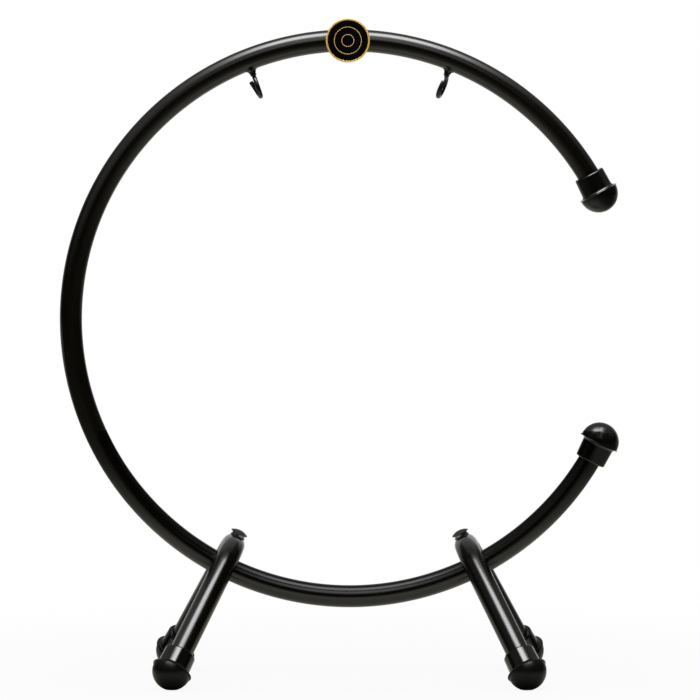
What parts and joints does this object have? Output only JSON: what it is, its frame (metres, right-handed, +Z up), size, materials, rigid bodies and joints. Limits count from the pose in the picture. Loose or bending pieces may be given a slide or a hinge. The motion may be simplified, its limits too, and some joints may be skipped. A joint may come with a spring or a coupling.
{
  "type": "gong stand",
  "caption": "Table gong stand: an open ring of bent black tube on bent-tube feet with rubber end caps, wire hooks under the top of the ring and a plain round badge.",
  "frame": {"origin": "centre of the footprint on the floor", "axes": "+Z up, +X towards the open mouth of the ring, -Y towards the front with the badge"},
  "size_m": [0.6018, 0.2474, 0.7143],
  "materials": {
    "powder_coat": "semi-gloss black powder coat",
    "cap_rubber": "satin black moulded rubber",
    "black_steel": "black plated steel",
    "hook_steel": "black coated wire",
    "zinc_steel": "zinc plated steel",
    "badge_brass": "polished gold-coloured rim",
    "badge_enamel": "gloss black enamel",
    "pad_foam": "matt black foam pad"
  },
  "bodies": {
    "stand": {"ring_tube": "powder_coat", "ring_cap_upper": "cap_rubber", "ring_cap_lower": "cap_rubber", "foot_tube_left": "powder_coat", "foot_cap_left_front": "cap_rubber", "foot_cap_left_rear": "cap_rubber", "flat_washer_left": "black_steel", "spring_washer_left": "zinc_steel", "foot_bolt_left": "black_steel", "threaded_insert_left": "zinc_steel", "hook_boss_left": "powder_coat", "foot_tube_right": "powder_coat", "foot_cap_right_front": "cap_rubber", "foot_cap_right_rear": "cap_rubber", "flat_washer_right": "black_steel", "spring_washer_right": "zinc_steel", "foot_bolt_right": "black_steel", "threaded_insert_right": "zinc_steel", "hook_boss_right": "powder_coat", "badge_pad": "pad_foam", "badge_plate": "badge_brass", "badge_face": "badge_enamel"},
    "hook_left": {"hook_left": "hook_steel"},
    "hook_right": {"hook_right": "hook_steel"}
  },
  "joints": [
    {"name": "hook_left_swivel", "type": "hinge", "parent": "stand", "child": "hook_left", "pos_m": [-0.0913, 0, 0.65054], "axis": [-0.3657, 0, 0.9307], "range_deg": [-90, 90]},
    {"name": "hook_right_swivel", "type": "hinge", "parent": "stand", "child": "hook_right", "pos_m": [0.11416, 0, 0.65027], "axis": [0.3681, 0, 0.9298], "range_deg": [-90, 90]}
  ]
}
